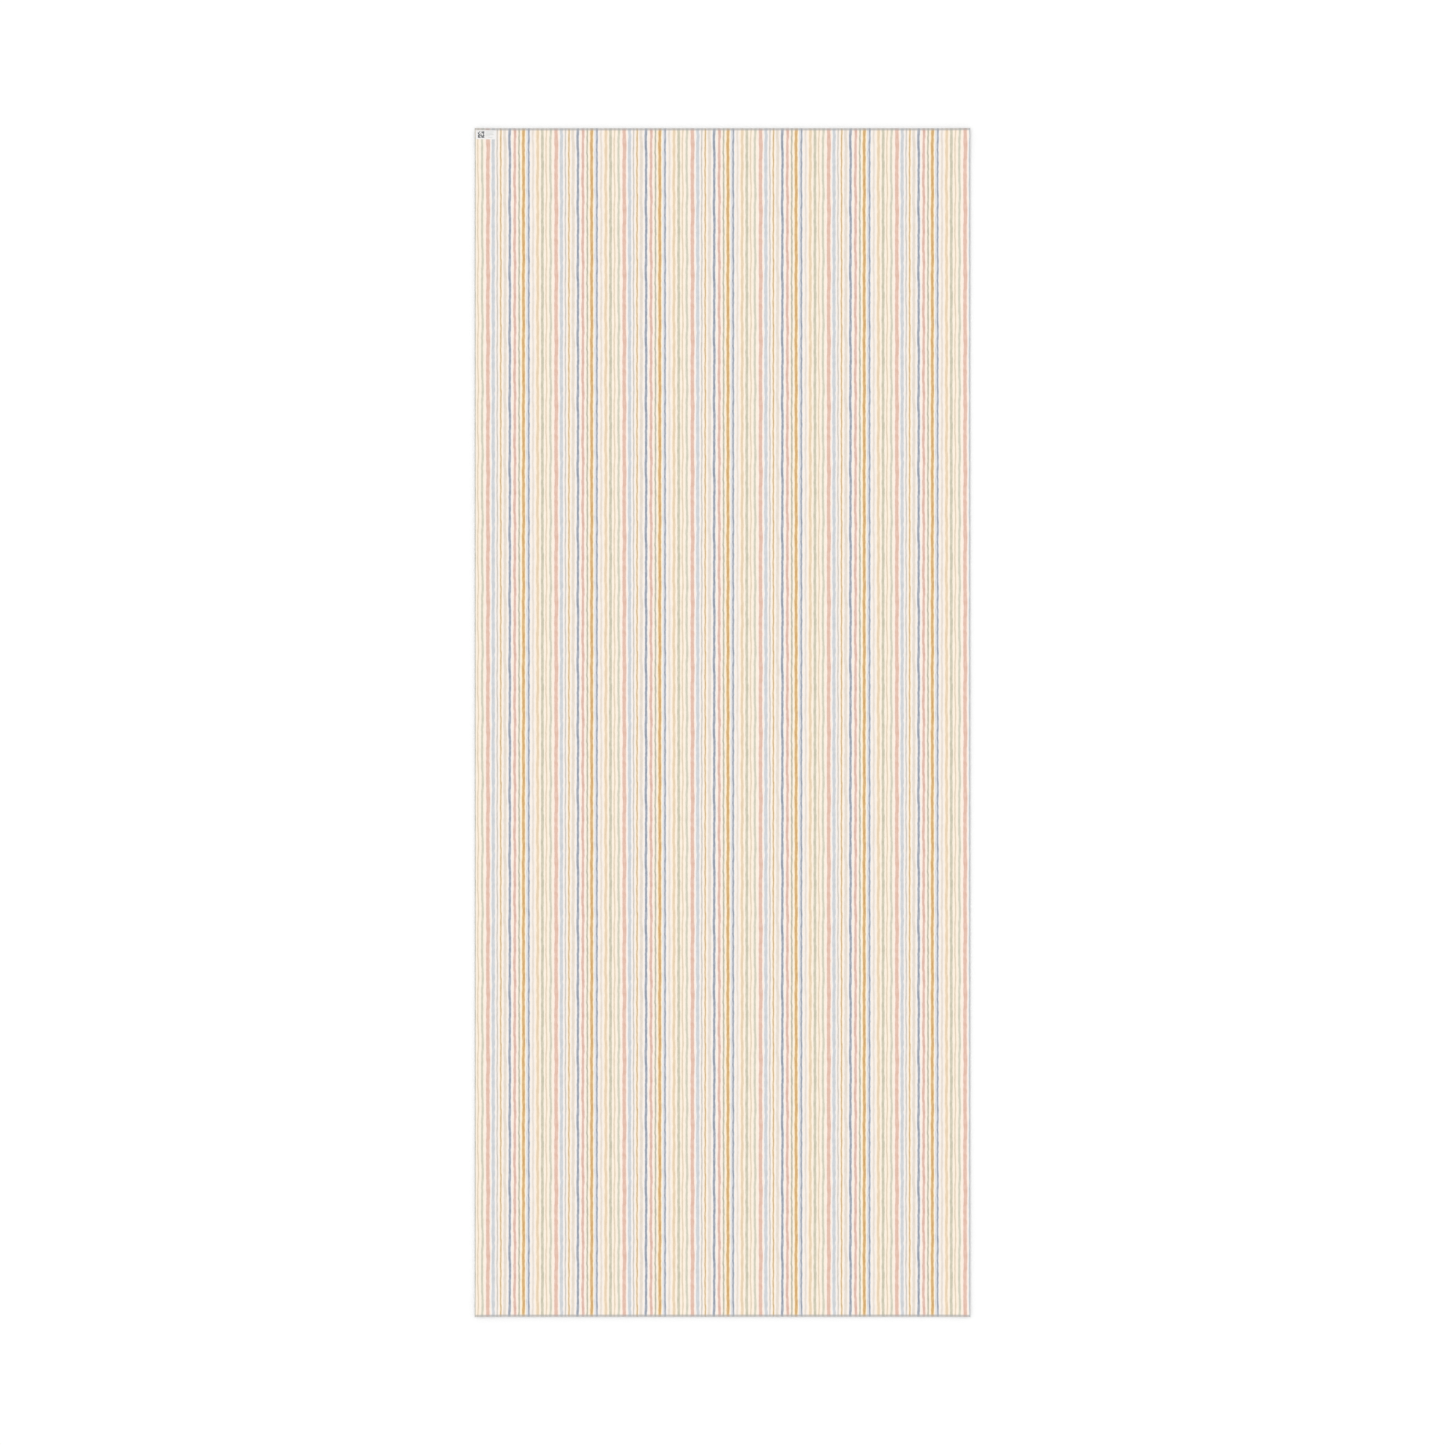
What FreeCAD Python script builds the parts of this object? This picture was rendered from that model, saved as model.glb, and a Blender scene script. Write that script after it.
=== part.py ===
"""A flat sheet of striped gift-wrapping paper with a small code label in one corner.

The sheet lies with its printed side up. The row frame is in millimetres, and its origin is the
centre of the sheet's underside: +X runs across the width, +Y runs along the length towards the
end with the label, and +Z points out of the printed side.
"""

import os

import FreeCAD
import Part

PARTS_FOLDER = "parts"

# The paper sheet, one cut of gift wrap.
SHEET_WIDTH = 762.0  # 30 inches, the width of the web that the sheet is cut from
SHEET_LENGTH = 1828.8  # 72 inches, cut across the web
SHEET_THICKNESS = 0.12  # about 90 g/m2 of coated paper

# The code label, a rectangle of label paper stuck to the printed side.
LABEL_LENGTH = 31.0  # along the sheet's end
LABEL_HEIGHT = 14.0
LABEL_THICKNESS = 0.1  # the label paper and its adhesive together
LABEL_CORNER_RADIUS = 0.8

# The bare paper that is left round the label, up to the sheet's two cut edges.
LABEL_SIDE_MARGIN = 1.5
LABEL_END_MARGIN = 3.0


def plate(length_x, length_y, thickness, corner):
    """A flat plate whose lowest corner is at the given point."""
    return Part.makeBox(length_x, length_y, thickness, corner)


def upright_edges(solid):
    """The edges of a plate that stand along Z, which are those of its corners."""
    return [
        edge
        for edge in solid.Edges
        if abs(edge.tangentAt(edge.FirstParameter).z) > 0.5
    ]


def make_paper_sheet():
    """The cut sheet, centred on the origin in X and Y, with its underside at Z = 0."""
    corner = FreeCAD.Vector(-SHEET_WIDTH / 2, -SHEET_LENGTH / 2, 0)
    return plate(SHEET_WIDTH, SHEET_LENGTH, SHEET_THICKNESS, corner)


def make_code_label():
    """The label, stuck flat on the printed side near the sheet's -X, +Y corner."""
    label_left = -SHEET_WIDTH / 2 + LABEL_SIDE_MARGIN
    label_top = SHEET_LENGTH / 2 - LABEL_END_MARGIN
    corner = FreeCAD.Vector(label_left, label_top - LABEL_HEIGHT, SHEET_THICKNESS)
    blank = plate(LABEL_LENGTH, LABEL_HEIGHT, LABEL_THICKNESS, corner)
    return blank.makeFillet(LABEL_CORNER_RADIUS, upright_edges(blank))


# Each node's name and the function that makes its solid.
NODES = {
    "paper_sheet": make_paper_sheet,
    "code_label": make_code_label,
}


def main():
    os.makedirs(PARTS_FOLDER, exist_ok=True)
    for node, make in NODES.items():
        solid = make()
        solid.exportStep(os.path.join(PARTS_FOLDER, f"{node}.step"))
        box = solid.BoundBox
        print(
            f"{node}: {box.XLength:.2f} x {box.YLength:.2f} x {box.ZLength:.2f} mm,"
            f" valid {solid.isValid()}, volume {solid.Volume:.1f} mm3"
        )


main()
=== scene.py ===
# %% [markdown]
# # A sheet of striped wrapping paper, laid out flat
#
# The object is one cut of gift wrap, 30 by 72 inches, with a painted stripe printed on
# one side, and a small white sticker near one corner. Paper is thin and stiff: it bends
# one way at a time and hardly stretches, and a sheet that came off a roll keeps a trace
# of it at both ends. So the lesson is about three things: a sheet with a real thickness
# that lies as paper lies, a painted stripe made from shader nodes, and a sticker that
# follows the sheet under it.

# %% Load the frame
import math

import bmesh
import bpy
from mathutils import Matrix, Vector, noise


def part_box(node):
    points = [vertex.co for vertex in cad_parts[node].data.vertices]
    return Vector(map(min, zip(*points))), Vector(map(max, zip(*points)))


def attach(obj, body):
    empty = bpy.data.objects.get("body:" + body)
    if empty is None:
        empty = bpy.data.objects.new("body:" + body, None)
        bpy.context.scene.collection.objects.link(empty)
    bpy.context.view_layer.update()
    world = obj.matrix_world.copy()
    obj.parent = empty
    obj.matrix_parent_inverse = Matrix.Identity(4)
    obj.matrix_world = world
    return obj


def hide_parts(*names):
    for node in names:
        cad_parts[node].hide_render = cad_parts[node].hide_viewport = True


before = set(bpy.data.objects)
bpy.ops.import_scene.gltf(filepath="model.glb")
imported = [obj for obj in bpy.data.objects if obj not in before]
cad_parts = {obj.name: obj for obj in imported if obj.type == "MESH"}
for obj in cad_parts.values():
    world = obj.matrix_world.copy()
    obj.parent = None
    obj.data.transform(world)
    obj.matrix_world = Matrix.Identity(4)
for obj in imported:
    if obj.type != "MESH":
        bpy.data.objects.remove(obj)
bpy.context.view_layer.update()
sheet_low, sheet_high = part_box("paper_sheet")
label_low, label_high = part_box("code_label")
print("sheet", sheet_low, sheet_high)
print("label", label_low, label_high)

# %% [markdown]
# ## Sizes
#
# Every size comes from the frame, so nothing has to be fitted afterwards. X runs across
# the paper, Y along it towards the end with the sticker, and Z comes out of the printed
# side. Blender works in metres, and small sizes are easier to read in millimetres, so
# one name holds the step between them.

# %% Sizes
MM = 0.001
paper_width = sheet_high.x - sheet_low.x
paper_length = sheet_high.y - sheet_low.y
paper_thickness = sheet_high.z - sheet_low.z
label_width = label_high.x - label_low.x
label_height = label_high.y - label_low.y
label_thickness = label_high.z - label_low.z
print(f"paper {paper_width / MM:.1f} x {paper_length / MM:.1f} x {paper_thickness / MM:.2f} mm")
print(f"sticker {label_width / MM:.1f} x {label_height / MM:.1f} x {label_thickness / MM:.2f} mm")

# %% [markdown]
# ## Small helpers for shader nodes
#
# A node tree is easier to read as sentences than as dozens of links. These helpers each
# add one node, feed it with numbers or with the outputs of other nodes, and hand back
# its output, so that a formula in the tree looks like a formula in the script.


# %% Node helpers
def feed(tree, socket, value):
    """Give a socket a number or a colour, or link another node's output to it."""
    if isinstance(value, bpy.types.NodeSocket):
        tree.links.new(value, socket)
    else:
        socket.default_value = value


def calc(tree, operation, *values):
    """One Math node, such as calc(tree, "MULTIPLY", a, b)."""
    step = tree.nodes.new("ShaderNodeMath")
    step.operation = operation
    for socket, value in zip(step.inputs, values):
        feed(tree, socket, value)
    return step.outputs[0]


def vector_calc(tree, operation, first, second):
    """One Vector Math node, handed back as a node: it has a vector and a value output."""
    step = tree.nodes.new("ShaderNodeVectorMath")
    step.operation = operation
    feed(tree, step.inputs[0], first)
    feed(tree, step.inputs[1], second)
    return step


def fade(tree, value, start, end, low=0.0, high=1.0):
    """A smooth step: low where value is at start, high where it is at end."""
    step = tree.nodes.new("ShaderNodeMapRange")
    step.interpolation_type = "SMOOTHSTEP"
    limits = {"From Min": start, "From Max": end, "To Min": low, "To Max": high}
    for socket_name, limit in limits.items():
        feed(tree, step.inputs[socket_name], limit)
    feed(tree, step.inputs["Value"], value)
    return step.outputs["Result"]


def mix_colours(tree, share, first, second, blend="MIX"):
    """The first colour where share is 0, the second where it is 1."""
    step = tree.nodes.new("ShaderNodeMix")
    step.data_type = "RGBA"
    step.blend_type = blend
    feed(tree, step.inputs[0], share)
    feed(tree, step.inputs[6], first)
    feed(tree, step.inputs[7], second)
    return step.outputs[2]


def noise_at(tree, place, scale, detail, roughness=0.5):
    """A Noise Texture, handed back as a node because it has two useful outputs."""
    step = tree.nodes.new("ShaderNodeTexNoise")
    feed(tree, step.inputs["Vector"], place)
    feed(tree, step.inputs["Scale"], scale)
    feed(tree, step.inputs["Detail"], detail)
    feed(tree, step.inputs["Roughness"], roughness)
    return step


def new_group(name, inputs, outputs):
    """A shader node group with named sockets. Returns it, what it is given and what it fills."""
    tree = bpy.data.node_groups.new(name, "ShaderNodeTree")
    kinds = {
        "number": "NodeSocketFloat",
        "colour": "NodeSocketColor",
        "vector": "NodeSocketVector",
    }
    for socket_name, kind in inputs:
        tree.interface.new_socket(socket_name, in_out="INPUT", socket_type=kinds[kind])
    for socket_name, kind in outputs:
        tree.interface.new_socket(socket_name, in_out="OUTPUT", socket_type=kinds[kind])
    given = tree.nodes.new("NodeGroupInput")
    result = tree.nodes.new("NodeGroupOutput")
    return tree, given.outputs, result.inputs


def use_group(tree, group, **values):
    """Place a group in a tree. A keyword is an input's name, with _ for a space."""
    placed = tree.nodes.new("ShaderNodeGroup")
    placed.node_tree = group
    for keyword, value in values.items():
        feed(tree, placed.inputs[keyword.replace("_", " ")], value)
    return placed.outputs


def paint(red, green, blue, strength=1.0):
    """A screen colour, 0 to 255, turned into the linear one that Blender works in."""
    linear = []
    for part in (red, green, blue):
        share = part / 255
        # These are the numbers of the sRGB standard.
        if share <= 0.04045:
            bright = share / 12.92
        else:
            bright = ((share + 0.055) / 1.055) ** 2.4
        linear.append(bright * strength)
    return (*linear, 1.0)


print("helpers ready")

# %% [markdown]
# ## The tooth of the paper
#
# Gift wrap is a smooth coated paper, but it is still made of fibres. Held to the light
# it is cloudy, because the fibres lie thicker in some places, and its face has a fine
# tooth that breaks up a reflection. The print, the back and the sticker are all paper,
# so the tooth is a node group that each of them uses at its own size.

# %% The tooth of the paper
tooth, given, result = new_group(
    "paper_tooth",
    [("Place", "vector"), ("Fibre Size", "number")],
    [("Cloud", "number"), ("Height", "number")],
)
CLOUD_TIMES_FIBRE = 30.0  # how many times larger a cloud is than a fibre
fibres_per_metre = calc(tooth, "DIVIDE", 1.0, given["Fibre Size"])
clouds_per_metre = calc(tooth, "DIVIDE", fibres_per_metre, CLOUD_TIMES_FIBRE)
cloud = noise_at(tooth, given["Place"], clouds_per_metre, detail=2.0)
fibre = noise_at(tooth, given["Place"], fibres_per_metre, detail=2.0, roughness=0.6)
feed(tooth, result["Cloud"], cloud.outputs["Fac"])
feed(tooth, result["Height"], fibre.outputs["Fac"])
print("paper_tooth group made")

# %% [markdown]
# ## One painted stripe
#
# Each stripe looks as if it was painted by hand with a loaded brush, and then printed.
# It leans to one side and back once in each repeat, snakes twice, and shakes in between.
# It swells and thins, its edges are not quite sharp, and a faint wash of its colour runs
# into the paper beside it. Because the artwork repeats, the same wobble comes back
# further along. Cosines of the place along the repeat give the lean and the snaking. For
# the shake, a noise that repeats is made by walking round a circle in it: one turn of
# the circle is one repeat of the artwork. One coloured noise does three things: its red
# part shakes the stripe, its green part swells it, and its blue part thins the paint.
#
# One stripe is one node group. What it gets is the paper's colour so far, and what it
# gives back is that colour with the stripe painted over it, so stripes can be chained.

# %% One painted stripe
ARTWORK_ACROSS = 104.91  # mm across, after which the row of stripes starts again
ARTWORK_ALONG = 100.6  # mm along, after which a stripe's wobble comes back
SHAKE_RADIUS = 1.7  # of the circle walked in the noise: a larger one shakes more often
SHAKE = 1.6  # mm that an unsteady hand moves the brush from side to side
SWELL = 0.6  # how much of its width a stripe gains and loses
EDGE_SOFTNESS = 0.3  # mm over which the paint fades out
WASH_REACH = 2.2  # mm that the faint wash runs beside the stripe
BRUSH_DRYNESS = 0.18  # how much thinner the paint gets where the brush runs dry
BRUSH_LOADED = 0.35  # the noise up to which the brush is full
BRUSH_DRY = 0.7  # the noise from which it is as dry as it gets

stripe, given, result = new_group(
    "painted_stripe",
    [
        ("Paper", "colour"),
        ("Across", "number"),
        ("Once Round", "vector"),
        ("Twice Round", "vector"),
        ("Ragged", "number"),
        ("Centre", "number"),
        ("Width", "number"),
        ("Lean", "vector"),
        ("Snake", "vector"),
        ("Seed", "vector"),
        ("Ink", "colour"),
        ("Wash", "colour"),
    ],
    [("Colour", "colour"), ("Inked", "number")],
)
walk = vector_calc(stripe, "MULTIPLY", given["Once Round"], (SHAKE_RADIUS, SHAKE_RADIUS, 0.0))
walk = vector_calc(stripe, "ADD", walk.outputs["Vector"], given["Seed"])
unsteady = noise_at(stripe, walk.outputs["Vector"], 1.0, detail=2.0)
parts = stripe.nodes.new("ShaderNodeSeparateColor")
feed(stripe, parts.inputs["Color"], unsteady.outputs["Color"])

lean = vector_calc(stripe, "DOT_PRODUCT", given["Once Round"], given["Lean"])
snake = vector_calc(stripe, "DOT_PRODUCT", given["Twice Round"], given["Snake"])
wander = calc(stripe, "ADD", lean.outputs["Value"], snake.outputs["Value"])
shake = calc(stripe, "SUBTRACT", parts.outputs["Red"], 0.5)
wander = calc(stripe, "MULTIPLY_ADD", shake, SHAKE, wander)
centre = calc(stripe, "ADD", given["Centre"], wander)
off_centre = calc(stripe, "SUBTRACT", given["Across"], centre)
nearest = calc(stripe, "WRAP", off_centre, ARTWORK_ACROSS / 2, -ARTWORK_ACROSS / 2)

swell = calc(stripe, "SUBTRACT", parts.outputs["Green"], 0.5)
swell = calc(stripe, "MULTIPLY_ADD", swell, SWELL, 1.0)
width = calc(stripe, "MULTIPLY", given["Width"], swell)
half_width = calc(stripe, "MULTIPLY", width, 0.5)
beside = calc(stripe, "SUBTRACT", calc(stripe, "ABSOLUTE", nearest), half_width)
ragged = calc(stripe, "ADD", beside, given["Ragged"])

thinnest = 1.0 - BRUSH_DRYNESS
load = fade(stripe, parts.outputs["Blue"], BRUSH_LOADED, BRUSH_DRY, 1.0, thinnest)
inked = calc(stripe, "MULTIPLY", fade(stripe, ragged, EDGE_SOFTNESS, -EDGE_SOFTNESS), load)
washed = fade(stripe, beside, WASH_REACH, 0.0)
with_wash = mix_colours(stripe, washed, given["Paper"], given["Wash"])
feed(stripe, result["Colour"], mix_colours(stripe, inked, with_wash, given["Ink"]))
feed(stripe, result["Inked"], inked)
print("painted_stripe group made")

# %% [markdown]
# ## The artwork
#
# Sixteen painted stripes make one repeat: sage, sand, rose, mist, slate and ochre on a
# cream ground. The list below is the painter's recipe. Each row says where the middle
# of a stripe is and how wide it is, in millimetres from the start of the repeat. Then it
# says how far the stripe leans and how far it snakes, each with the place, from 0 to 1
# along the repeat, where it is furthest to the right. The order of the list is the order
# of painting.

# %% The recipe of stripes
PRINT_STRENGTH = 0.848  # how bright the paper and the inks are, next to a pure white
GROUND = paint(253, 240, 226, PRINT_STRENGTH)
PLAIN_WASH = paint(245, 239, 235, PRINT_STRENGTH)
COOL_WASH = paint(240, 241, 244, PRINT_STRENGTH)
WARM_WASH = paint(254, 238, 216, PRINT_STRENGTH)
GOLD_WASH = paint(255, 233, 186, PRINT_STRENGTH)
ROSY_WASH = paint(253, 235, 226, PRINT_STRENGTH)
LEAF_WASH = paint(250, 240, 222, PRINT_STRENGTH)

STRIPES = [
    # name, centre, width, lean and where, snake and where, ink, wash
    ("sage", 0.4, 3.9, (0.10, 0.45), (0.10, 0.10), (197, 193, 170), LEAF_WASH),
    ("sand", 6.3, 2.0, (0.40, 0.85), (0.25, 0.35), (223, 206, 182), WARM_WASH),
    ("pale sage", 12.9, 3.3, (0.40, 0.90), (0.20, 0.40), (205, 203, 184), LEAF_WASH),
    ("rose", 21.6, 5.3, (0.20, 0.20), (0.10, 0.30), (224, 183, 164), ROSY_WASH),
    ("mist", 29.7, 4.6, (0.15, 0.00), (0.15, 0.05), (201, 205, 209), COOL_WASH),
    ("oat line", 35.9, 1.9, (0.25, 0.90), (0.10, 0.20), (202, 194, 183), PLAIN_WASH),
    ("ochre line", 41.2, 2.0, (0.10, 0.15), (0.10, 0.45), (205, 173, 122), WARM_WASH),
    ("oat", 47.8, 4.2, (0.30, 0.40), (0.20, 0.25), (228, 217, 203), PLAIN_WASH),
    ("slate", 55.1, 3.6, (0.20, 0.55), (0.15, 0.40), (138, 147, 163), COOL_WASH),
    ("blush", 62.8, 3.9, (0.30, 0.15), (0.35, 0.45), (217, 174, 158), ROSY_WASH),
    ("sage line", 69.6, 2.5, (0.15, 0.85), (0.15, 0.50), (183, 180, 161), LEAF_WASH),
    ("ochre", 76.2, 4.0, (0.20, 0.95), (0.10, 0.40), (208, 162, 97), GOLD_WASH),
    ("mist edge", 82.1, 2.2, (0.10, 0.00), (0.10, 0.50), (195, 198, 204), COOL_WASH),
    ("dusk", 84.3, 2.8, (0.10, 0.00), (0.10, 0.50), (144, 152, 167), COOL_WASH),
    ("pale oat", 90.9, 2.9, (0.30, 0.45), (0.10, 0.35), (231, 220, 208), PLAIN_WASH),
    ("straw", 98.1, 3.8, (0.30, 0.30), (0.15, 0.45), (230, 207, 175), WARM_WASH),
]
print(len(STRIPES), "stripes in a repeat of", ARTWORK_ACROSS, "mm")

# %% [markdown]
# ## The print, as one group
#
# The print is worked out from a place on the flat cut, in metres, and not from where
# that bit of paper ends up. That way a stripe stays on its paper when the paper bends.
# The group is used twice: at full strength on the face, and very faintly on the back,
# where the inks show through.

# %% The print
ARTWORK_STARTS = -382.6  # mm across from the middle, a hair outside the left edge
ARTWORK_TOP = 906.1  # mm along from the middle
RAGGED_EDGE = 0.35  # mm of fine unevenness along the edges of the paint
RAGGED_PER_METRE = 700.0
BRISTLES_PER_METRE = 1600.0
BRISTLE_STRETCH = 0.03  # a streak is some thirty times longer than it is wide
BRISTLE_DRYNESS = 0.22  # how much of the ink a dry streak leaves out
STREAK_STARTS = 0.45  # the noise from which a bristle starts to run dry
STREAK_FULL = 0.75  # the noise from which its streak is as dry as it gets
SEED_STEP_X = 7.3  # from one stripe's place in the noise that shakes it to the next one's
SEED_STEP_Z = 5.7
SEED_Y = 3.1


def on_circle(tree, angle):
    """The point at an angle on a circle of radius 1."""
    point = tree.nodes.new("ShaderNodeCombineXYZ")
    feed(tree, point.inputs["X"], calc(tree, "COSINE", angle))
    feed(tree, point.inputs["Y"], calc(tree, "SINE", angle))
    return point.outputs[0]


def wave(size, at):
    """A wave that is size at the place at, from 0 to 1, as the vector for a dot product."""
    return (size * math.cos(2 * math.pi * at), size * math.sin(2 * math.pi * at), 0.0)


printed, given, result = new_group(
    "striped_print",
    [("Place", "vector")],
    [("Colour", "colour"), ("Inked", "number")],
)
place = printed.nodes.new("ShaderNodeSeparateXYZ")
feed(printed, place.inputs[0], given["Place"])
across_mm = calc(printed, "MULTIPLY_ADD", place.outputs["X"], 1 / MM, -ARTWORK_STARTS)
along_mm = calc(printed, "MULTIPLY_ADD", place.outputs["Y"], -1 / MM, ARTWORK_TOP)
across = calc(printed, "WRAP", across_mm, ARTWORK_ACROSS, 0.0)
turn = calc(printed, "MULTIPLY", along_mm, 2 * math.pi / ARTWORK_ALONG)
once_round = on_circle(printed, turn)
twice_round = on_circle(printed, calc(printed, "MULTIPLY", turn, 2.0))
grain = noise_at(printed, given["Place"], RAGGED_PER_METRE, detail=2.0)
ragged = calc(printed, "SUBTRACT", grain.outputs["Fac"], 0.5)
ragged = calc(printed, "MULTIPLY", ragged, RAGGED_EDGE)

colour = GROUND
inked = 0.0
for number, (_, centre_mm, width_mm, lean, snake, ink, wash) in enumerate(STRIPES):
    painted = use_group(
        printed,
        stripe,
        Paper=colour,
        Across=across,
        Once_Round=once_round,
        Twice_Round=twice_round,
        Ragged=ragged,
        Centre=centre_mm,
        Width=width_mm,
        Lean=wave(lean[0], lean[1]),
        Snake=wave(snake[0], 2 * snake[1]),
        Seed=(SEED_STEP_X * number, SEED_Y, SEED_STEP_Z * number),
        Ink=paint(*ink, PRINT_STRENGTH),
        Wash=wash,
    )
    colour = painted["Colour"]
    inked = calc(printed, "MAXIMUM", inked, painted["Inked"])

along_bristles = vector_calc(printed, "MULTIPLY", given["Place"], (1.0, BRISTLE_STRETCH, 1.0))
bristles = noise_at(printed, along_bristles.outputs["Vector"], BRISTLES_PER_METRE, detail=2.0)
bristle = bristles.outputs["Fac"]
streaks = fade(printed, bristle, STREAK_STARTS, STREAK_FULL, 0.0, BRISTLE_DRYNESS)
dry = calc(printed, "MULTIPLY", streaks, inked)
feed(printed, result["Colour"], mix_colours(printed, dry, colour, GROUND))
feed(printed, result["Inked"], calc(printed, "SUBTRACT", inked, dry))
print("striped_print group made with", len(printed.nodes), "nodes")

# %% [markdown]
# ## The painted edge shade
#
# The rim of the sheet is painted greyer than the rest, and its stripes are faint there.
# This grey is painted shade. It stands in for the thin dark line of shade along the
# paper's edge. It is a millimetre or two wide along the long sides and wider at the ends,
# and it runs over the sticker as well. The mask comes from the distances to the edges of
# the flat cut.

# %% The painted edge shade
# Painted shade: how wide the grey band of shade is along the long sides and at the ends
SIDE_SHADE_BAND = (1.2 * MM, 2.2 * MM)  # from a long side: where the grey starts to fade, and ends
END_SHADE_BAND = (2.3 * MM, 4.2 * MM)  # the same from an end
SIDE_SHADE_SHARE = 0.4  # how much of the print the grey of a slit side hides
END_SHADE_SHARE = 0.7  # the same at a chopped end

edge_shade_tree, given, result = new_group("painted_edge_shade", [("Place", "vector")], [("Edge Shade", "number")])
place = edge_shade_tree.nodes.new("ShaderNodeSeparateXYZ")
feed(edge_shade_tree, place.inputs[0], given["Place"])
off_across = calc(edge_shade_tree, "ABSOLUTE", place.outputs["X"])
off_along = calc(edge_shade_tree, "ABSOLUTE", place.outputs["Y"])
from_side = calc(edge_shade_tree, "SUBTRACT", paper_width / 2, off_across)
from_end = calc(edge_shade_tree, "SUBTRACT", paper_length / 2, off_along)
side_shade = fade(edge_shade_tree, from_side, SIDE_SHADE_BAND[1], SIDE_SHADE_BAND[0], 0.0, SIDE_SHADE_SHARE)
end_shade = fade(edge_shade_tree, from_end, END_SHADE_BAND[1], END_SHADE_BAND[0], 0.0, END_SHADE_SHARE)
feed(edge_shade_tree, result["Edge Shade"], calc(edge_shade_tree, "MAXIMUM", side_shade, end_shade))
print("painted_edge_shade group made")

# %% [markdown]
# ## The paper's three surfaces
#
# The face is satin: a coated stock with a soft sheen, a little duller where the ink lies.
# The back is plain white and dull, and the inks show through it as ghosts. The cut edge
# is raw fibre. The pattern reads a UV map called flat_cut, which holds each point's place
# on the flat sheet in metres.


# %% Paper materials
def new_material(name):
    """An empty material with a Principled shader. Returns both, and its node tree."""
    material = bpy.data.materials.new(name)
    material.use_nodes = True
    shader = material.node_tree.nodes["Principled BSDF"]
    return material, shader, material.node_tree


def place_on(tree, uv_map):
    """The place on the flat piece, in metres, as its own UV map holds it."""
    step = tree.nodes.new("ShaderNodeUVMap")
    step.uv_map = uv_map
    return step.outputs["UV"]


def rough_surface(tree, shader, height, depth_mm):
    """Press a fine height into the shading, depth_mm deep."""
    bump = tree.nodes.new("ShaderNodeBump")
    feed(tree, bump.inputs["Strength"], 1.0)
    feed(tree, bump.inputs["Distance"], depth_mm * MM)
    feed(tree, bump.inputs["Height"], height)
    feed(tree, shader.inputs["Normal"], bump.outputs["Normal"])


# The grey of the painted shade along the rim
EDGE_SHADE_GREY = paint(168, 168, 168, PRINT_STRENGTH)  # painted shade along the sheet's rim
CLOUD_SHADE = (0.97, 0.965, 0.955, 1.0)  # what a cloud of thicker fibres leaves of the colour
CLOUD_RANGE = (0.35, 0.75)  # the noise between which a cloud comes in
SATIN = 0.42  # roughness of the bare coating
INK_DULLS = 0.08  # added to it by the ink
TOOTH_DULLS = 0.12  # added to it by the tooth

face, shader, tree = new_material("printed_face")
here = place_on(tree, "flat_cut")
artwork = use_group(tree, printed, Place=here)
fibres = use_group(tree, tooth, Place=here, Fibre_Size=0.4 * MM)
edge_shade = use_group(tree, edge_shade_tree, Place=here)["Edge Shade"]
cloudy = fade(tree, fibres["Cloud"], *CLOUD_RANGE)
colour = mix_colours(tree, cloudy, artwork["Colour"], CLOUD_SHADE, "MULTIPLY")
# Painted shade: the rim of the printed face is turned grey
colour = mix_colours(tree, edge_shade, colour, EDGE_SHADE_GREY)
feed(tree, shader.inputs["Base Color"], colour)
dullness = calc(tree, "MULTIPLY_ADD", artwork["Inked"], INK_DULLS, SATIN)
dullness = calc(tree, "MULTIPLY_ADD", fibres["Height"], TOOTH_DULLS, dullness)
feed(tree, shader.inputs["Roughness"], dullness)
shader.inputs["Specular IOR Level"].default_value = 0.4
rough_surface(tree, shader, fibres["Height"], depth_mm=0.008)
print("printed_face made")

# %% The plain back
BACK_WHITE = paint(250, 249, 246, PRINT_STRENGTH)
SHOW_THROUGH = 0.10  # how much of the print's colour is seen from behind
BACK_CLOUD_RANGE = (0.3, 0.75)
BACK_DULL = 0.65
BACK_TOOTH_DULLS = 0.2

back, shader, tree = new_material("plain_back")
here = place_on(tree, "flat_cut")
artwork = use_group(tree, printed, Place=here)
fibres = use_group(tree, tooth, Place=here, Fibre_Size=0.6 * MM)
edge_shade = use_group(tree, edge_shade_tree, Place=here)["Edge Shade"]
cloudy = fade(tree, fibres["Cloud"], *BACK_CLOUD_RANGE)
colour = mix_colours(tree, SHOW_THROUGH, BACK_WHITE, artwork["Colour"])
colour = mix_colours(tree, cloudy, colour, CLOUD_SHADE, "MULTIPLY")
# Painted shade: the rim of the back is turned grey too
colour = mix_colours(tree, edge_shade, colour, EDGE_SHADE_GREY)
feed(tree, shader.inputs["Base Color"], colour)
dullness = calc(tree, "MULTIPLY_ADD", fibres["Height"], BACK_TOOTH_DULLS, BACK_DULL)
feed(tree, shader.inputs["Roughness"], dullness)
shader.inputs["Specular IOR Level"].default_value = 0.3
rough_surface(tree, shader, fibres["Height"], depth_mm=0.02)
print("plain_back made")

# %% The cut edge
FIBRE_SHADE = paint(226, 222, 215)
FIBRE_LIGHT = paint(244, 241, 235)
FUZZ_RANGE = (0.3, 0.7)  # the noise between which the shade turns to light
CORE_DULL = 0.75
CORE_TOOTH_DULLS = 0.2

core, shader, tree = new_material("cut_edge")
here = place_on(tree, "flat_cut")
fibres = use_group(tree, tooth, Place=here, Fibre_Size=0.3 * MM)
fuzzy = fade(tree, fibres["Height"], *FUZZ_RANGE)
colour = mix_colours(tree, fuzzy, FIBRE_SHADE, FIBRE_LIGHT)
feed(tree, shader.inputs["Base Color"], colour)
dullness = calc(tree, "MULTIPLY_ADD", fibres["Height"], CORE_TOOTH_DULLS, CORE_DULL)
feed(tree, shader.inputs["Roughness"], dullness)
rough_surface(tree, shader, fibres["Height"], depth_mm=0.02)
print("cut_edge made")

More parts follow.
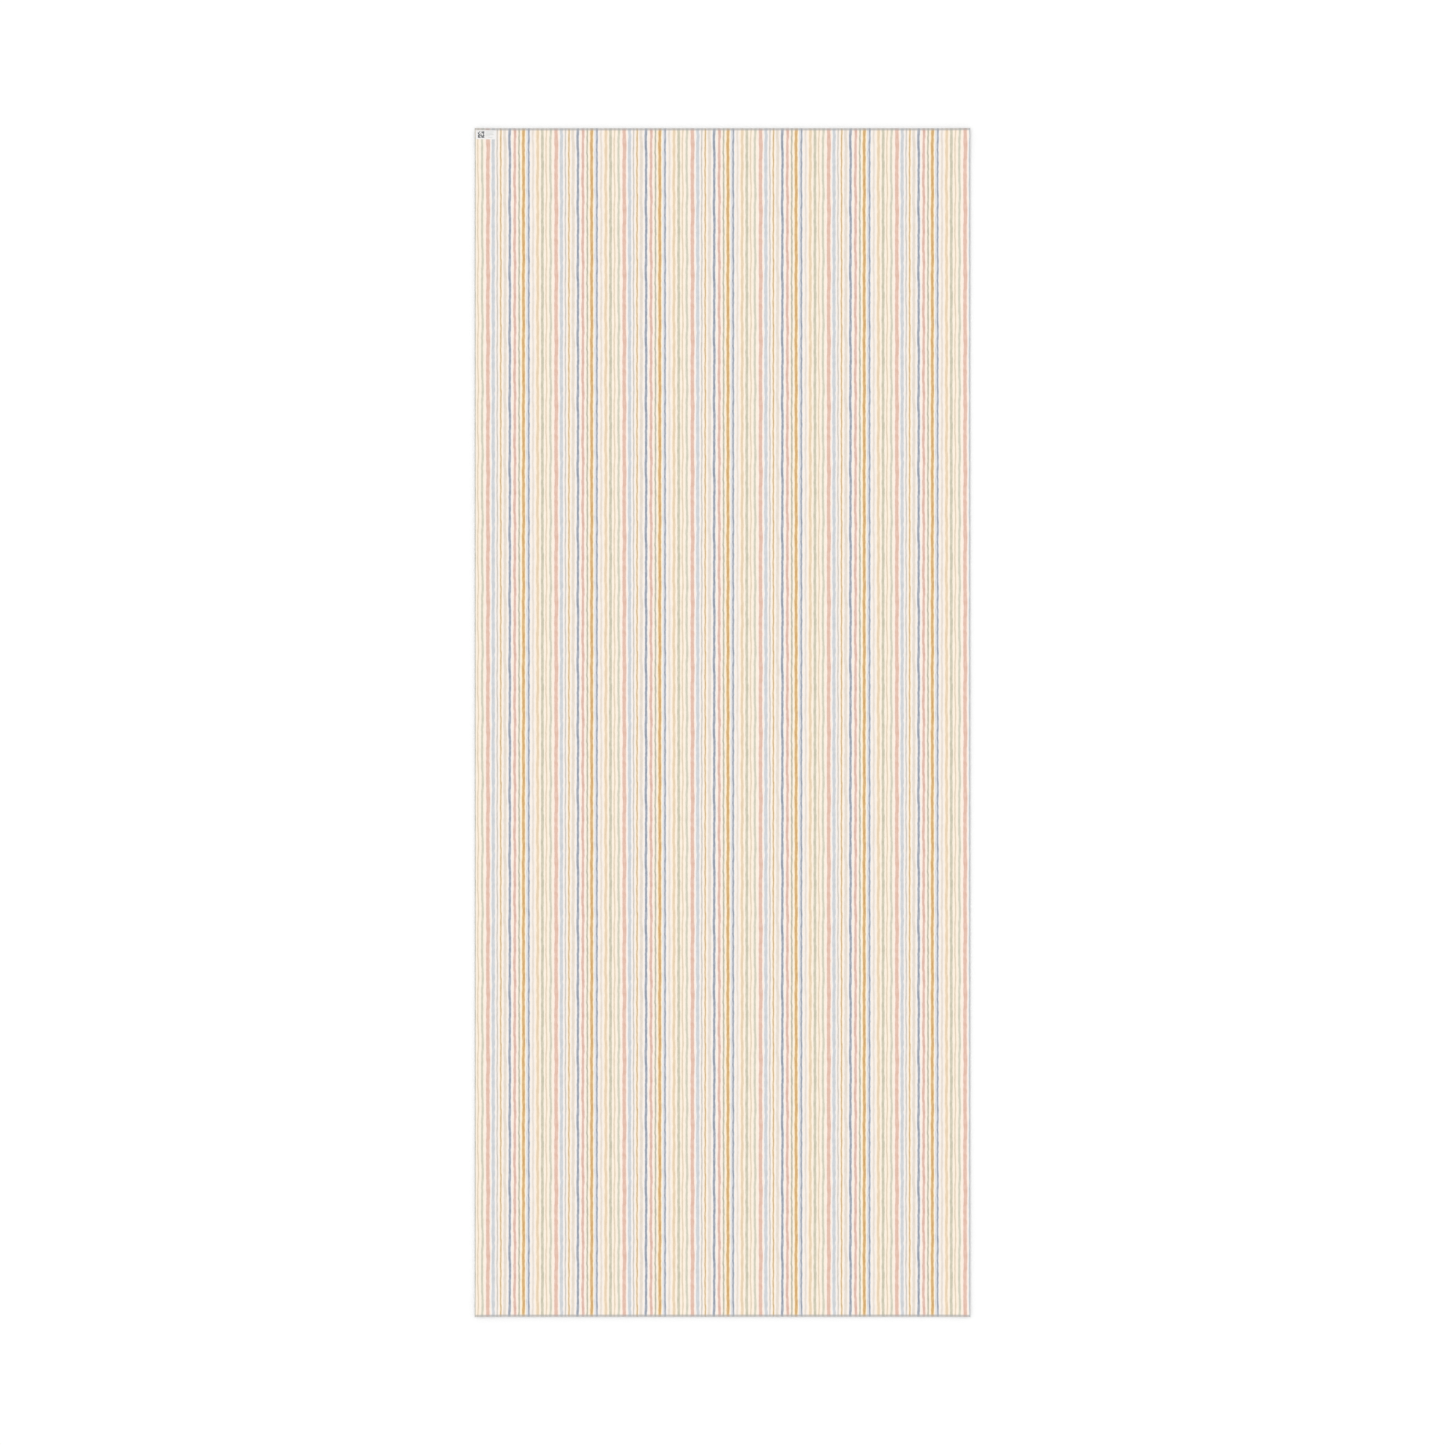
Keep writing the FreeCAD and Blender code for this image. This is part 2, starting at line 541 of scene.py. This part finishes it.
# %% [markdown]
# ## How the paper lies
#
# A sheet off a roll, laid on a table, does not lie dead flat. Both ends remember the roll
# and rise as a shallow cylinder, whose axis is never quite square to the sheet. The long
# sides lift by three or four millimetres, and all over the paper cockles by a few tenths.
# Cloth simulation could find such a shape, but paper doesn't stretch, so bending it on
# formulas is truer: along a cylinder, a length of paper stays exactly that length.
#
# The function takes a place on the flat cut and a height above the table, and says where
# that point goes. The sheet and the sticker both use it, so the sticker always lies on
# the paper.

# %% How the paper lies
ROLL_RADIUS = 560 * MM  # the curve that the ends keep
ENDS = [
    # which end, how much of the length curls, how far the curl is off square
    (1, 66 * MM, math.radians(0.5)),
    (-1, 65 * MM, math.radians(-0.7)),
]
SIDE_REACH = 55 * MM  # how far in from a long side the paper lifts
SIDE_LIFT = 3.6 * MM  # how high it lifts at the very edge
SIDE_UNEVEN = 0.35  # the share of the lift that comes and goes
SIDE_WAVE = 260 * MM  # the length over which it does
RIGHT_SIDE_SEED = 3.0  # sets the right side's waves apart from the left side's
SIDE_SEED = 0.5
COCKLE = 0.25 * MM  # the mean height of the low waves
COCKLE_ACROSS = 210 * MM
COCKLE_ALONG = 95 * MM
COCKLE_SEED = 2.7


def curl_end(point, which, reach, off_square):
    """Roll the paper beyond a line near one end onto a cylinder."""
    along = Vector((math.sin(off_square), math.cos(off_square) * which, 0))
    past = point.x * along.x + point.y * along.y - (paper_length / 2 - reach)
    if past <= 0:
        return Vector((0, 0, 0))
    angle = past / ROLL_RADIUS
    rise = ROLL_RADIUS * (1 - math.cos(angle))
    return along * (ROLL_RADIUS * math.sin(angle) - past) + Vector((0, 0, rise))


def side_lift(point):
    """The long sides lift a little, more in some places than in others."""
    inside = paper_width / 2 - abs(point.x)
    share = max(0.0, 1 - inside / SIDE_REACH)
    side = RIGHT_SIDE_SEED if point.x > 0 else 0.0
    wave_here = noise.noise(Vector((side, point.y / SIDE_WAVE, SIDE_SEED)))
    return SIDE_LIFT * share * share * (1 + SIDE_UNEVEN * wave_here)


def cockle(point):
    """Low waves, longer along the roll's axis than along the sheet."""
    place_in_noise = (point.x / COCKLE_ACROSS, point.y / COCKLE_ALONG, COCKLE_SEED)
    return COCKLE * (1 + noise.noise(Vector(place_in_noise)))


def lay_down(point):
    """Where a point of the flat cut goes when the paper lies on the table."""
    moved = point.copy()
    for which, reach, off_square in ENDS:
        moved += curl_end(point, which, reach, off_square)
    moved.z += side_lift(point) + cockle(point)
    return moved


for corner_x in (-1, 1):
    for corner_y in (-1, 1):
        corner = Vector((corner_x * paper_width / 2, corner_y * paper_length / 2, 0))
        print("corner", corner_x, corner_y, "lifts", round(lay_down(corner).z / MM, 2), "mm")

# %% [markdown]
# ## The sheet
#
# The sheet starts as a grid of small cells, is extruded to its real thickness, and is
# marked while it is still flat: which faces are print, back and edge, and where each
# corner is on the flat cut. Only then is it laid down. The second UV map, OFBake, spreads
# the printed face over nearly the whole of a picture and leaves the back and the edge a
# narrow strip, for when the pattern has to be baked.

# %% Sheet helpers
CELL = 8 * MM  # the side of one cell of the sheet's grid
FACE_SLOT, BACK_SLOT, EDGE_SLOT = 0, 1, 2  # the order of a piece's materials
FACE_STRIP = (0.0, 0.94)  # the share of a baked picture's height that each of them takes
BACK_STRIP = (0.95, 0.985)
EDGE_STRIP = (0.99, 0.995)
FACING = 0.5  # a face looks up or down if its normal's Z is past this
SHARP_ANGLE = math.radians(45)


def mark_flat_cut(mesh_parts, width, length, centre):
    """Sort the faces into print, back and edge, and fill both UV maps from the flat piece."""
    flat = mesh_parts.loops.layers.uv.new("flat_cut")
    baked = mesh_parts.loops.layers.uv.new("OFBake")
    for face_part in mesh_parts.faces:
        up = face_part.normal.z
        if up > FACING:
            low, high = FACE_STRIP
            face_part.material_index = FACE_SLOT
        elif up < -FACING:
            low, high = BACK_STRIP
            face_part.material_index = BACK_SLOT
        else:
            low, high = EDGE_STRIP
            face_part.material_index = EDGE_SLOT
        for loop in face_part.loops:
            spot = loop.vert.co
            loop[flat].uv = (spot.x, spot.y)
            across_share = (spot.x - centre.x) / width + 0.5
            along_share = (spot.y - centre.y) / length + 0.5
            loop[baked].uv = (across_share, low + (high - low) * along_share)


def give_thickness(mesh_parts, thickness):
    """Extrude a flat skin upwards into a closed slab, with every face pointing out."""
    lower = list(mesh_parts.faces)
    grown = bmesh.ops.extrude_face_region(mesh_parts, geom=lower, use_keep_orig=True)
    upper = [part for part in grown["geom"] if isinstance(part, bmesh.types.BMVert)]
    bmesh.ops.translate(mesh_parts, verts=upper, vec=(0, 0, thickness))
    bmesh.ops.recalc_face_normals(mesh_parts, faces=mesh_parts.faces)
    mesh_parts.normal_update()


def finish_piece(mesh_parts, name, materials):
    """Turn a bmesh into an object at the origin, smooth except over its sharp edges."""
    for face_part in mesh_parts.faces:
        face_part.smooth = True
    for rim in mesh_parts.edges:
        rim.smooth = rim.calc_face_angle(0.0) < SHARP_ANGLE
    mesh = bpy.data.meshes.new(name)
    mesh_parts.to_mesh(mesh)
    mesh_parts.free()
    for material in materials:
        mesh.materials.append(material)
    piece = bpy.data.objects.new(name, mesh)
    bpy.context.scene.collection.objects.link(piece)
    return piece


print(f"cells of {CELL / MM:.0f} mm for the sheet")

# %% The sheet
UNIT_GRID = 0.5  # create_grid takes half a side, so this makes a grid 1 m square

sheet_parts = bmesh.new()
bmesh.ops.create_grid(
    sheet_parts,
    x_segments=round(paper_width / CELL),
    y_segments=round(paper_length / CELL),
    size=UNIT_GRID,
)
bmesh.ops.scale(sheet_parts, verts=sheet_parts.verts, vec=(paper_width, paper_length, 1))
give_thickness(sheet_parts, paper_thickness)
mark_flat_cut(sheet_parts, paper_width, paper_length, Vector((0, 0, 0)))
for vert in sheet_parts.verts:
    vert.co = lay_down(vert.co)
paper = finish_piece(sheet_parts, "wrapping_paper", [face, back, core])
print("wrapping_paper has", len(paper.data.polygons), "faces")

# %% [markdown]
# ## The sticker
#
# A small white sticker lies near one corner of the printed side. The real one carries a
# printer's code and some small type. Here it has plain marks instead: a patch of square
# cells, each dark or light by chance, and pale bars where lines of type would be. They
# are drawn in the material from the sticker's own flat map, because print has no height.

# %% Sticker material
STICKER_WHITE = paint(251, 249, 248, 0.785)
PATCH = (3.2, 1.8, 10.0, 10.0)  # from the left, from the top, width and height, in mm
PATCH_CELLS = 9  # along each side
PATCH_INK = paint(84, 88, 92)
DARK_SHARE = 0.62  # of the patch's cells
BARS = [
    # from the left, from the top, width, height, in mm
    (14.8, 2.2, 12.6, 0.8),
    (14.8, 4.2, 11.2, 0.8),
    (14.8, 6.2, 12.6, 0.8),
    (14.8, 8.2, 7.0, 0.8),
    (19.0, 10.8, 6.5, 0.8),
]
BAR_INK = paint(178, 184, 182)
BAR_STRENGTH = 0.65
MARK_SOFTNESS = 0.08  # mm
STICKER_DULL = 0.5
STICKER_TOOTH_DULLS = 0.15


def inside_box(tree, across_place, down_place, box_mm):
    """A mask that is 1 inside a box given from the sticker's top left corner."""
    left, top, width, height = box_mm
    across_off = calc(tree, "SUBTRACT", across_place, left + width / 2)
    down_off = calc(tree, "SUBTRACT", down_place, top + height / 2)
    over_side = calc(tree, "SUBTRACT", calc(tree, "ABSOLUTE", across_off), width / 2)
    over_end = calc(tree, "SUBTRACT", calc(tree, "ABSOLUTE", down_off), height / 2)
    outside = calc(tree, "MAXIMUM", over_side, over_end)
    return fade(tree, outside, MARK_SOFTNESS, -MARK_SOFTNESS)


def patch_cell(tree, distance_mm, start_mm):
    """Which of the patch's cells a distance falls in, counted from 0."""
    cells_per_mm = PATCH_CELLS / PATCH[2]
    cells_in = calc(tree, "MULTIPLY_ADD", distance_mm, cells_per_mm, -start_mm * cells_per_mm)
    whole = calc(tree, "MAXIMUM", calc(tree, "FLOOR", cells_in), 0.0)
    return calc(tree, "MINIMUM", whole, PATCH_CELLS - 1.0)


sticker_face, shader, tree = new_material("sticker_face")
here = place_on(tree, "flat_cut")
place = tree.nodes.new("ShaderNodeSeparateXYZ")
feed(tree, place.inputs[0], here)
across_place = calc(tree, "MULTIPLY_ADD", place.outputs["X"], 1 / MM, -label_low.x / MM)
down_place = calc(tree, "MULTIPLY_ADD", place.outputs["Y"], -1 / MM, label_high.y / MM)
in_patch = inside_box(tree, across_place, down_place, PATCH)
cell = tree.nodes.new("ShaderNodeCombineXYZ")
feed(tree, cell.inputs["X"], patch_cell(tree, across_place, PATCH[0]))
feed(tree, cell.inputs["Y"], patch_cell(tree, down_place, PATCH[1]))
chance = tree.nodes.new("ShaderNodeTexWhiteNoise")
chance.noise_dimensions = "2D"
feed(tree, chance.inputs["Vector"], cell.outputs[0])
dark = calc(tree, "LESS_THAN", chance.outputs["Value"], DARK_SHARE)
printed_cell = calc(tree, "MULTIPLY", in_patch, dark)
colour = mix_colours(tree, printed_cell, STICKER_WHITE, PATCH_INK)
for bar in BARS:
    in_bar = inside_box(tree, across_place, down_place, bar)
    printed_bar = calc(tree, "MULTIPLY", in_bar, BAR_STRENGTH)
    colour = mix_colours(tree, printed_bar, colour, BAR_INK)
fibres = use_group(tree, tooth, Place=here, Fibre_Size=0.25 * MM)
edge_shade = use_group(tree, edge_shade_tree, Place=here)["Edge Shade"]
cloudy = fade(tree, fibres["Cloud"], *CLOUD_RANGE)
colour = mix_colours(tree, cloudy, colour, CLOUD_SHADE, "MULTIPLY")
# Painted shade: the grey band along the sheet's rim runs over the sticker's edge too
colour = mix_colours(tree, edge_shade, colour, EDGE_SHADE_GREY)
feed(tree, shader.inputs["Base Color"], colour)
dullness = calc(tree, "MULTIPLY_ADD", fibres["Height"], STICKER_TOOTH_DULLS, STICKER_DULL)
feed(tree, shader.inputs["Roughness"], dullness)
rough_surface(tree, shader, fibres["Height"], depth_mm=0.006)
print("sticker_face made with", len(BARS), "bars")

# %% [markdown]
# ### Its shape
#
# The sticker's outline is a rectangle with small round corners. It is a grid too, fine
# enough to bend with the paper. Its corners are rounded with a bevel on four vertices,
# and it is then extruded and laid on the sheet by the same function as the sheet itself,
# with a film of glue under it.

# %% The sticker
STICKER_CORNER = 0.8 * MM
CORNER_STEPS = 5
GLUE = 0.04 * MM  # the film that keeps the two papers apart
STICKER_CELLS = (10, 5)  # along its length and its height

label_centre = (label_low + label_high) / 2
sticker_parts = bmesh.new()
bmesh.ops.create_grid(
    sticker_parts,
    x_segments=STICKER_CELLS[0],
    y_segments=STICKER_CELLS[1],
    size=UNIT_GRID,
)
bmesh.ops.scale(sticker_parts, verts=sticker_parts.verts, vec=(label_width, label_height, 1))
corners = [vert for vert in sticker_parts.verts if len(vert.link_faces) == 1]
bmesh.ops.bevel(
    sticker_parts,
    geom=corners,
    offset=STICKER_CORNER,
    segments=CORNER_STEPS,
    profile=0.5,
    affect="VERTICES",
    material=-1,
)
bmesh.ops.translate(
    sticker_parts,
    verts=sticker_parts.verts,
    vec=(label_centre.x, label_centre.y, paper_thickness + GLUE),
)
give_thickness(sticker_parts, label_thickness)
mark_flat_cut(sticker_parts, label_width, label_height, label_centre)
for vert in sticker_parts.verts:
    vert.co = lay_down(vert.co)
sticker = finish_piece(sticker_parts, "sticker", [sticker_face, back, core])
print("sticker has", len(sticker.data.polygons), "faces and", len(corners), "round corners")

# %% [markdown]
# ## Tie the pieces to the frame
#
# Nothing on this object moves against anything else, so both pieces ride on its one
# body. Each stands for the plain solid that it replaces.

# %% Tie the pieces to the frame
for piece, node, finish in (
    (paper, "paper_sheet", "printed_paper"),
    (sticker, "code_label", "label_paper"),
):
    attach(piece, "root")
    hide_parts(node)

# %% [markdown]
# ## The studio
#
# The sheet lies on a plain white floor, under a white sky and one broad soft light from
# nearly overhead. Light from all round leaves hardly any shadow, only the thin dark line
# where the paper's edge stands clear of the floor. The world looks white to the camera
# and is a little dimmer as a light, so that the floor meets it without a horizon.

# %% Floor
FLOOR_SIDE = 40.0  # m
FLOOR_GAP = 0.05 * MM  # keeps the floor and the paper's underside from meeting
FLOOR_WHITE = (0.871, 0.871, 0.871, 1.0)

floor_parts = bmesh.new()
bmesh.ops.create_grid(floor_parts, x_segments=1, y_segments=1, size=FLOOR_SIDE / 2)
bmesh.ops.translate(floor_parts, verts=floor_parts.verts, vec=(0, 0, -FLOOR_GAP))
floor_material, shader, tree = new_material("studio_floor")
shader.inputs["Base Color"].default_value = FLOOR_WHITE
shader.inputs["Roughness"].default_value = 0.9
shader.inputs["Specular IOR Level"].default_value = 0.1
floor = finish_piece(floor_parts, "studio_floor", [floor_material])
print("floor laid")

# %% Light
SKY_LIGHT = 0.78  # how bright the sky is as a light
SKY_SEEN = 1.1  # how bright it is to the camera
KEY_STRENGTH = 1.25
KEY_SOFTNESS = math.radians(60)
KEY_TILT = math.radians(5)

world = bpy.data.worlds.new("white_sky")
world.use_nodes = True
bpy.context.scene.world = world
sky = world.node_tree
background = sky.nodes["Background"]
background.inputs["Color"].default_value = (1.0, 1.0, 1.0, 1.0)
light_path = sky.nodes.new("ShaderNodeLightPath")
strength = fade(sky, light_path.outputs["Is Camera Ray"], 0.0, 1.0, SKY_LIGHT, SKY_SEEN)
feed(sky, background.inputs["Strength"], strength)

key_data = bpy.data.lights.new("soft_key", "SUN")
key_data.energy = KEY_STRENGTH
key_data.angle = KEY_SOFTNESS
key = bpy.data.objects.new("soft_key", key_data)
key.rotation_euler = (-KEY_TILT, -KEY_TILT, 0)
bpy.context.scene.collection.objects.link(key)
bpy.context.scene.view_settings.view_transform = "Standard"
print("light set")

# %% [markdown]
# ## The camera
#
# The picture looks straight down on the middle of the sheet, square to it, from far
# enough away that the sheet takes up a little over four fifths of the picture's height.
# A long lens keeps the view nearly parallel.

# %% Camera
SHEET_SHARE_OF_PICTURE = 0.822
LENS = 100.0  # mm
SENSOR = 36.0  # mm

picture_side = paper_length / SHEET_SHARE_OF_PICTURE
camera_data = bpy.data.cameras.new("camera")
camera_data.lens = LENS
camera_data.sensor_width = SENSOR
camera = bpy.data.objects.new("camera", camera_data)
camera.location = (0, 0, picture_side * LENS / SENSOR)
bpy.context.scene.collection.objects.link(camera)
bpy.context.scene.camera = camera
print(f"camera {camera.location.z:.2f} m above the sheet")
